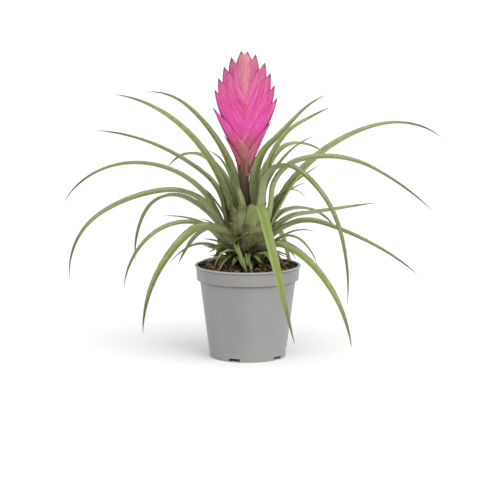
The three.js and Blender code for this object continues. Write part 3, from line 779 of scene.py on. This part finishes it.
def leaf_place(leaf, widths, seat, depth, number, channel=USUAL_SHAPE.channel):
    """How a leaf bends: a clasping sheath at its foot and a channelled blade that twists a little."""
    points = leaf_spine(leaf, seat, depth)
    wrap = 2 * (stem_radius(leaf.root) + seat)
    rows = {}

    def row(along):
        """The middle, side and upper direction, half width and fold of one row of corners."""
        if along not in rows:
            middle, direction = through(points, along)
            heading = math.radians(leaf.turn + leaf.drift * along)
            side = Vector((math.sin(heading), -math.cos(heading), 0))
            twist = noise.noise(Vector((number * TWIST_STEP, along * TWIST_WAVES, 0)))
            twist *= LEAF_TWIST * min(1, 2 * along)
            side = Matrix.Rotation(math.radians(twist), 3, direction.normalized()) @ side
            up = side.cross(direction).normalized()
            wave = along * leaf.length * RAGGED_WAVES
            ragged = 1 + RAGGED * noise.noise(Vector((number * RAGGED_STEP, wave, RAGGED_LAYER)))
            half = leaf.width / 2 * through(widths, along)[0] * ragged
            fold = between(along, (0, CHANNEL_REACH), (half / wrap, channel))
            rows[along] = (middle, side, up, max(half, LEAF_TIP_HALF_WIDTH), fold)
        return rows[along]

    def place(across, along, face):
        middle, side, up, half, fold = row(along)
        lift = half * fold * abs(across) ** CHANNEL_CURVE
        thickness = LEAF_THICKNESS * (1 - (1 - LEAF_EDGE_SHARE) * across ** 2)
        thickness *= min(1, LEAF_TIP_SHARE + half / 2)
        point = middle + side * (half * across) + up * (lift + face * thickness / 2)
        return point, half * across, leaf.length * along

    return place


def stalk_middle(height):
    """The stalk's middle at a height: it leans over on its way up and then stands upright."""
    low, high = STALK_LEAN_HEIGHTS
    share = max(0, min(1, (height - low) / (high - low)))
    return Vector((STALK_LEAN * share * share * (3 - 2 * share), 0, height))


def clasp_place(foot, turn, length):
    """How a sheath clasps the stalk: wrapped round it at its foot and pointed at its tip."""

    def place(across, along, face):
        wrap = CLASP_WRAP * (1 - along ** CLASP_TAPER) ** CLASP_POINT + CLASP_TIP_WRAP
        angle = math.radians(turn + across * wrap)
        height = foot + length * along
        reach = between(height, CLASP_LEVELS, CLASP_REACHES)
        reach += CLASP_BULGE * along * (1 - across ** 2)
        reach += face * CLASP_HALF_THICKNESS
        reach -= CLASP_TUCK * (1 - along) ** 4
        deep = min(reach, CLASP_FLAT_REACH + CLASP_FLATNESS * (reach - CLASP_FLAT_REACH))
        point = stalk_middle(height) + Vector((math.cos(angle) * reach, math.sin(angle) * deep, 0))
        return point, math.radians(across * wrap) * reach, length * along

    return place


def bow(first, bend, last, t):
    """A point on the curve from first to last that bends towards bend."""
    return first * (1 - t) ** 2 + bend * (2 * t * (1 - t)) + last * t ** 2


def bract_place(hand, reach, height):
    """How a bract folds: its keel is the outer edge, and its free margins rise from the seam to the tip."""
    inner_length = BRACT_LENGTH + BRACT_EXTRA_LENGTH * reach
    root = max(height - inner_length - BRACT_DEPTH, BRACT_LOWEST_ROOT)
    inner_root = max(height - inner_length, root + BRACT_START)
    tip = Vector((reach, height))
    keel_foot = Vector((KEEL_FOOT, root))
    keel_bend = Vector((between(height, KEEL_HEIGHTS, KEEL_BENDS), (root + height) / 2))
    inner_foot = Vector((-BRACT_CROSSING, inner_root))
    inward = 1 - reach / HEAD_HALF_WIDTH
    fullness = BRACT_FULLNESS * inward
    bow_at = INNER_BOW_AT + INNER_BOW_RISE * inward ** 3
    inner_bend = Vector((reach * INNER_BOW - fullness, inner_root + (height - inner_root) * bow_at))

    def place(across, along, face):
        side = abs(across)
        keel = bow(keel_foot, keel_bend, tip, along)
        inner = bow(inner_foot, inner_bend, tip, along)
        flat = keel.lerp(inner, side)
        lens = HEAD_HALF_THICKNESS * (1 - abs(flat.x) / (BRACT_EDGE_SHARE * HEAD_HALF_WIDTH))
        lens = min(lens + BRACT_LIFT * along, BRACT_TIP_DEPTH + BRACT_TIP_SLOPE * (1 - along))
        depth = lens * (1 - (1 - side) ** BRACT_BELLY) ** BRACT_ROUNDING
        depth += face * BRACT_THICKNESS / 2 * (1 - BRACT_MARGIN_THINNING * side ** 4)
        front = -1 if across > 0 else 1
        on_keel = side < 1 / BRACT_COLUMNS
        if on_keel:
            depth = 0
            flat.x += face * BRACT_THICKNESS / 2
        point = Vector((HEAD_CENTRE + hand * flat.x, front * hand * depth, flat.y))
        return point, side * (keel - inner).length, (tip - keel_foot).length * along

    return place


def turned(name, profile, sides):
    """A round piece raised ring by ring from a disc. The profile lists each ring's radius and height."""
    bpy.ops.object.select_all(action="DESELECT")
    radius, height = profile[0]
    bpy.ops.mesh.primitive_circle_add(
        vertices=sides, radius=radius * MM, fill_type="NGON", location=(0, 0, height * MM))
    piece = added(name)
    bpy.ops.object.transform_apply(location=True, rotation=True, scale=True)
    bpy.ops.object.mode_set(mode="EDIT")
    bpy.ops.mesh.select_all(action="SELECT")
    for (before, low), (after, high) in zip(profile, profile[1:]):
        bpy.ops.mesh.extrude_region_move(TRANSFORM_OT_translate={"value": (0, 0, (high - low) * MM)})
        share = after / before
        bpy.ops.transform.resize(value=(share, share, 1), center_override=(0, 0, 0))
    bpy.ops.object.mode_set(mode="OBJECT")
    facing_out(piece)
    return piece


def cut(piece, cutter):
    """Cuts the cutter out of the piece and removes it."""
    modified(piece, "BOOLEAN", operation="DIFFERENCE", solver="EXACT", object=cutter)
    bpy.data.objects.remove(cutter)


def mark_tone(piece, tone):
    """Keeps the piece's own tone in the attribute that the finishes read."""
    share = piece.data.attributes.new("share", "FLOAT_VECTOR", "POINT")
    for mark in share.data:
        mark.vector = (0, 0, tone)


def build_pot():
    """Pot: a flat disc under its floor, a foot ring with cuts, a deep rim band, a lip and drain holes."""
    lip_foot = POT_HEIGHT - POT_LIP_HEIGHT
    foot_inner = POT_FOOT_RADIUS - 2 * POT_WALL
    slope = (POT_BODY_TOP_RADIUS - POT_FOOT_RADIUS) / POT_BAND_FOOT
    line_radius = POT_FOOT_RADIUS + slope * FOOT_LINE
    pot = turned("nursery_pot", (
        (POT_DISC_RADIUS, 0),
        (POT_DISC_RADIUS + POT_DISC_FLARE, POT_FLOOR_UNDERSIDE),
        (foot_inner, POT_FLOOR_UNDERSIDE),
        (foot_inner + FOOT_RING_FLARE, 0),
        (POT_FOOT_RADIUS - FOOT_RING_EASE, 0),
        (line_radius - FOOT_LINE_DEPTH, FOOT_LINE - FOOT_LINE_DROP),
        (line_radius, FOOT_LINE),
        (POT_BODY_TOP_RADIUS, POT_BAND_FOOT),
        (POT_BAND_FOOT_RADIUS, POT_BAND_FOOT),
        (POT_BAND_TOP_RADIUS, lip_foot),
        (POT_LIP_RADIUS, lip_foot + POT_LIP_CHAMFER),
        (POT_LIP_RADIUS, POT_HEIGHT),
        (POT_BAND_TOP_RADIUS - POT_WALL, POT_HEIGHT),
        (POT_BAND_FOOT_RADIUS - POT_WALL, POT_BAND_FOOT + POT_WALL),
        (POT_BODY_TOP_RADIUS - POT_WALL, POT_BAND_FOOT),
        (POT_FOOT_RADIUS - POT_WALL, POT_FLOOR_TOP),
    ), POT_SIDES)
    modified(pot, "BEVEL", width=POT_BEVEL * MM, segments=POT_BEVEL_STEPS, limit_method="ANGLE",
             angle_limit=math.radians(POT_BEVEL_ANGLE))
    for i in range(NOTCH_COUNT):
        turn = math.radians(NOTCH_FIRST + 360 / NOTCH_COUNT * i)
        outward = Vector((math.cos(turn), math.sin(turn), 0))
        bpy.ops.mesh.primitive_cube_add(
            size=MM, location=outward * POT_FOOT_RADIUS * MM, rotation=(0, 0, turn))
        notch = added("notch")
        notch.scale = NOTCH_SIZE
        cut(pot, notch)
        bpy.ops.mesh.primitive_cylinder_add(
            vertices=DRAIN_SIDES, radius=DRAIN_RADIUS * MM, depth=4 * POT_FLOOR_TOP * MM,
            location=outward * DRAIN_CIRCLE * MM)
        cut(pot, added("drain"))
    select_only(pot)
    bpy.ops.object.shade_smooth_by_angle(angle=math.radians(POT_SMOOTH_ANGLE))
    finished(pot, pot_finish(), "pot_plastic", "pot")


def soil_height(x, y):
    """Height of the bark's surface at a place, in millimetres, heaped a little towards the stem."""
    rough = 0
    for frequency, layer, share in SOIL_WAVES:
        rough += share * noise.noise(Vector((x * frequency, y * frequency, layer)))
    heap = SOIL_HEAP * max(0, 1 - math.hypot(x, y) / POT_BAND_FOOT_RADIUS)
    return SOIL_LEVEL + heap + SOIL_ROUGHNESS * rough


def chip_pattern(draw):
    """A flake of bark about one unit long: a block broken unevenly."""
    bpy.ops.object.select_all(action="DESELECT")
    bpy.ops.mesh.primitive_cube_add(size=1)
    chip = added("chip_pattern")
    bpy.ops.object.mode_set(mode="EDIT")
    bpy.ops.mesh.select_all(action="SELECT")
    bpy.ops.mesh.subdivide(number_cuts=1)
    size = (1, draw.uniform(*CHIP_WIDTHS), draw.uniform(*CHIP_HEIGHTS))
    bpy.ops.transform.resize(value=size, center_override=(0, 0, 0))
    bpy.ops.object.mode_set(mode="OBJECT")
    for corner in chip.data.vertices:
        corner.co *= 1 - CHIP_ROUNDING * (2 * corner.co.length) ** 2
        corner.co += Vector([draw.uniform(-CHIP_BREAK, CHIP_BREAK) for _ in range(3)])
    return chip


def build_bed(rim):
    """Bed of soil that fills the pot, with a rough top."""
    body = POT_BODY_TOP_RADIUS - POT_WALL - SOIL_GAP
    profile = [
        (POT_FOOT_RADIUS - POT_WALL - SOIL_FOOT_GAP, POT_FLOOR_TOP + SOIL_GAP),
        (body, POT_BAND_FOOT),
        (rim, POT_BAND_FOOT + SOIL_SHOULDER),
    ]
    for i in range(SOIL_RINGS + 1):
        profile.append((rim + (SOIL_INNER_RADIUS - rim) * i / SOIL_RINGS, SOIL_LEVEL))
    bed = turned("soil_bed", profile, SOIL_SIDES)
    for corner in bed.data.vertices:
        x, y, z = corner.co / MM
        on_top = z > SOIL_LEVEL - SOIL_GAP
        if on_top:
            corner.co.z = soil_height(x, y) * MM
    mark_tone(bed, SOIL_TONE)
    select_only(bed)
    bpy.ops.object.shade_smooth()
    finish = soil_finish("soil_bed", (
        (0.2, paint(14, 11, 9)),
        (0.5, paint(34, 23, 17)),
        (0.8, paint(58, 38, 28)),
    ))
    finished(bed, finish, "soil", "soil")


def build_bark(draw, rim):
    """Loose bark chips of many sizes in a seeded scatter on the bed."""
    patterns = [chip_pattern(draw) for _ in range(CHIP_PATTERNS)]
    smallest, largest = CHIP_SIZES
    chips = []
    for _ in range(CHIP_COUNT):
        reach = (rim - CHIP_RIM_GAP) * math.sqrt(draw.uniform(CHIP_INNER_SHARE, 1))
        turn = draw.uniform(0, math.tau)
        x, y = reach * math.cos(turn), reach * math.sin(turn)
        chip = draw.choice(patterns).copy()
        chip.data = chip.data.copy()
        bpy.context.collection.objects.link(chip)
        size = smallest + (largest - smallest) * draw.random() ** 2
        size = min(size, 2 * (rim - reach) + CHIP_RIM_SIZE)
        pitch = Matrix.Rotation(draw.uniform(-CHIP_TILT, CHIP_TILT), 3, "X")
        roll = Matrix.Rotation(draw.uniform(-CHIP_TILT, CHIP_TILT), 3, "Y")
        spin = Matrix.Rotation(draw.uniform(0, math.tau), 3, "Z")
        middle = Vector((x, y, soil_height(x, y) + draw.uniform(*CHIP_LIFTS)))
        scale = Vector((size, size, size))
        chip.data.transform(Matrix.LocRotScale(middle * MM, spin @ pitch @ roll, scale * MM))
        mark_tone(chip, draw.random())
        chips.append(chip)
    for pattern in patterns:
        bpy.data.objects.remove(pattern)
    finish = soil_finish("soil_bark", (
        (0.2, paint(18, 12, 9)),
        (0.42, paint(56, 33, 23)),
        (0.62, paint(116, 72, 52)),
        (0.88, paint(190, 160, 124)),
    ))
    finished(joined("soil_bark", chips), finish, "soil")


def build_soil(draw):
    """Soil: a rough bed under loose bark."""
    rim = POT_BAND_FOOT_RADIUS - POT_WALL - SOIL_GAP
    build_bed(rim)
    build_bark(draw, rim)


def build_stem():
    """Stem: its core, which the leaves stand round."""
    core = turned("stem_core", STEM_PROFILE, STEM_SIDES)
    select_only(core)
    bpy.ops.object.shade_smooth()
    finished(core, stem_finish(), "stem", "stem")


def build_crown():
    """Crown: blunt sheaths round the stem, tier above tier, and the young sheath in front of them."""
    flat = add_flat_blade(CROWN_ROWS, CROWN_COLUMNS)
    sheaths = []
    for tier, (foot, count, first) in enumerate(CROWN_TIERS):
        width = CROWN_WIDTH * min(1, stem_radius(foot) / CROWN_FULL_RADIUS)
        for i in range(count):
            number = CROWN_NUMBERS + 10 * tier + i
            sheath = Leaf(first + 360 / count * i, foot, 0, CROWN_LENGTH, width, CROWN_RISE)
            place = leaf_place(sheath, CROWN_WIDTHS, LEAF_SEAT, BASAL_DEPTH, number)
            sheaths.append(shaped(f"sheath_{number}", flat, place, number))
    place = leaf_place(YOUNG_SHEATH, CROWN_WIDTHS, YOUNG_SEAT, BASAL_DEPTH, YOUNG_NUMBER)
    young = shaped("young_sheath", flat, place, YOUNG_NUMBER)
    bpy.data.objects.remove(flat)
    finished(young, FINISHES["fresh"], "leaf", "stem")
    finished(joined("crown_sheaths", sheaths), FINISHES["crown"], "stem")


def build_small_leaves(kind, leaves, first, finish, flat):
    """All small leaves of one kind, as one piece."""
    pieces = []
    for number, leaf in enumerate(leaves, first):
        place = leaf_place(leaf, BASAL_WIDTHS, 0, BASAL_DEPTH, number)
        pieces.append(shaped(f"{kind}_{number}", flat, place, number))
    finished(joined(f"{kind}_leaves", pieces), FINISHES[finish], "leaf")


def build_tangle(draw):
    """Short withered and young leaves that cross each other round the stem's foot."""
    flat = add_flat_blade(TANGLE_ROWS, TANGLE_COLUMNS)
    kinds = {"leaf": [], "withered": []}
    for number in range(TANGLE_NUMBERS, TANGLE_NUMBERS + TANGLE_COUNT):
        rise = draw.uniform(*TANGLE_RISES)
        end = draw.uniform(*TANGLE_ENDS)
        turn = draw.uniform(0, 360)
        root = draw.uniform(*TANGLE_HEIGHTS)
        drift = draw.uniform(-TANGLE_DRIFT, TANGLE_DRIFT)
        length = draw.uniform(*TANGLE_LENGTHS)
        width = draw.uniform(*TANGLE_WIDTHS)
        middle = (rise + end) / 2 + draw.uniform(-TANGLE_BEND, TANGLE_BEND)
        rises = (rise, (3 * rise + end) / 4, middle, (rise + 3 * end) / 4, end)
        leaf = Leaf(turn, root, drift, length, width, rises)
        place = leaf_place(leaf, BASAL_WIDTHS, 0, BASAL_DEPTH / 2, number)
        kind = draw.choice(list(kinds))
        kinds[kind].append(shaped(f"tangle_{number}", flat, place, number))
    bpy.data.objects.remove(flat)
    for kind, pieces in kinds.items():
        finished(joined(f"tangle_{kind}", pieces), FINISHES[kind], "leaf")


def build_leaves(flat):
    """The large leaves, each for its own solid."""
    for number, (name, leaf) in enumerate(LEAVES.items()):
        shape = OTHER_SHAPES.get(name, USUAL_SHAPE)
        place = leaf_place(leaf, shape.widths, LEAF_SEAT, SHEATH_DEPTH, number, shape.channel)
        blade = shaped(f"blade_{name}", flat, place, number)
        finished(blade, FINISHES[shape.finish], "leaf", f"leaf_{name}")


def build_stalk(flat):
    """Flower stalk with its clasping sheaths."""
    profile = []
    for i in range(STALK_STEPS + 1):
        profile.append((STALK_RADIUS, STALK_FOOT + (STALK_TOP - STALK_FOOT) * i / STALK_STEPS))
    rod = turned("stalk_rod", profile, STALK_SIDES)
    for corner in rod.data.vertices:
        corner.co.x += stalk_middle(corner.co.z / MM).x * MM
    mark_tone(rod, STALK_TONE)
    parts = [rod]
    for number, clasp in enumerate(CLASPS, STALK_NUMBERS):
        parts.append(shaped(f"clasp_{number}", flat, clasp_place(*clasp), number))
    stalk = joined("stalk_with_sheaths", parts)
    bpy.ops.object.shade_smooth()
    finished(stalk, sheath_finish(), "stalk", "flower_stalk")


def build_head():
    """Flower head: folded bracts in two ranks on an axis."""
    flat = add_flat_blade(BRACT_ROWS, BRACT_COLUMNS)
    bracts = []
    ranks = ((1, RIGHT_TIPS, RIGHT_BRACT_NUMBERS), (-1, LEFT_TIPS, LEFT_BRACT_NUMBERS))
    for hand, tips, first in ranks:
        for number, (reach, height) in enumerate(tips, first):
            bract = shaped(f"bract_{number}", flat, bract_place(hand, reach, height), number)
            facing_out(bract)
            bracts.append(bract)
    bpy.data.objects.remove(flat)
    axis = turned("head_axis", (
        (AXIS_RADIUS, STALK_TOP - AXIS_SUNK),
        (AXIS_RADIUS, AXIS_TAPER),
        (AXIS_TIP_RADIUS, AXIS_TOP),
    ), AXIS_SIDES)
    for corner in axis.data.vertices:
        corner.co.x += HEAD_CENTRE * MM
    mark_tone(axis, STALK_TONE)
    head = joined("flower_bracts", [*bracts, axis])
    bpy.ops.object.shade_smooth_by_angle(angle=math.radians(BRACT_SMOOTH_ANGLE))
    finished(head, bract_finish(), "bract", "flower_head")


def build_camera():
    """The camera, as it stood for the photo."""
    data = bpy.data.cameras.new("camera")
    data.lens = CAMERA_LENS
    data.sensor_width = CAMERA_SENSOR
    camera = bpy.data.objects.new("camera", data)
    camera.location = CAMERA_PLACE
    camera.rotation_euler = (math.radians(CAMERA_PITCH), 0, 0)
    bpy.context.collection.objects.link(camera)
    bpy.context.scene.camera = camera


def build_floor():
    """A pale floor that fills the view."""
    bpy.ops.object.select_all(action="DESELECT")
    bpy.ops.mesh.primitive_plane_add(size=FLOOR_SIZE)
    floor = added("studio_floor")
    material, tree, shader = new_finish("studio_floor")
    set_inputs(tree, shader, {
        "Base Color": paint(247, 247, 247),
        "Roughness": 0.9,
        "Specular IOR Level": 0.1,
    })
    floor.data.materials.append(material)


def build_light():
    """An even white sky and two wide soft suns: one from the right and one from above in front."""
    world = bpy.data.worlds.new("studio_world")
    bpy.context.scene.world = world
    world.use_nodes = True
    background = world.node_tree.nodes["Background"]
    set_inputs(world.node_tree, background, {"Color": (1, 1, 1, 1), "Strength": WORLD_STRENGTH})
    for name, place, strength in SUNS:
        light = bpy.data.lights.new(name, "SUN")
        light.energy = strength
        light.angle = math.radians(SUN_WIDTH)
        sun = bpy.data.objects.new(name, light)
        sun.rotation_euler = Vector(place).to_track_quat("Z", "Y").to_euler()
        bpy.context.collection.objects.link(sun)
    bpy.context.scene.view_settings.view_transform = "Standard"


# Leaf finishes: the colours of the middle, the margins, the underside, the sheath and its rust
FINISHES = {
    "leaf": leaf_finish("leaf", paint(112, 136, 40), paint(163, 168, 137), paint(146, 152, 106),
                        paint(172, 176, 130), paint(108, 88, 60)),
    "fresh": leaf_finish("fresh_leaf", paint(112, 134, 58), paint(144, 154, 108), paint(170, 170, 136),
                         paint(176, 176, 140), paint(104, 104, 58)),
    "crown": leaf_finish("crown_sheath", paint(108, 110, 56), paint(172, 172, 126), paint(144, 144, 94),
                         paint(162, 160, 110), paint(88, 70, 46)),
    # The cup leaf's colours are a darker copy of the leaf's: painted shade for its hollow channel, which
    # turns back into the crown.
    "cup": leaf_finish("shaded_cup_leaf", paint(82, 80, 50), paint(134, 138, 92), paint(112, 116, 74),
                       paint(104, 106, 66), paint(74, 62, 46)),
    "withered": leaf_finish("withered_leaf", paint(112, 92, 62), paint(146, 126, 92), paint(96, 78, 52),
                            paint(104, 88, 60), paint(70, 52, 36)),
}

build_camera()
build_floor()
build_light()
draw = random.Random(SEED)
build_pot()
build_soil(draw)
flat_blade = add_flat_blade(BLADE_ROWS, BLADE_COLUMNS)
build_stem()
build_crown()
build_small_leaves("basal", BASAL_LEAVES, BASAL_NUMBERS, "crown", flat_blade)
build_small_leaves("thin", THIN_LEAVES, THIN_NUMBERS, "leaf", flat_blade)
build_tangle(draw)
build_leaves(flat_blade)
build_stalk(flat_blade)
bpy.data.objects.remove(flat_blade)
build_head()
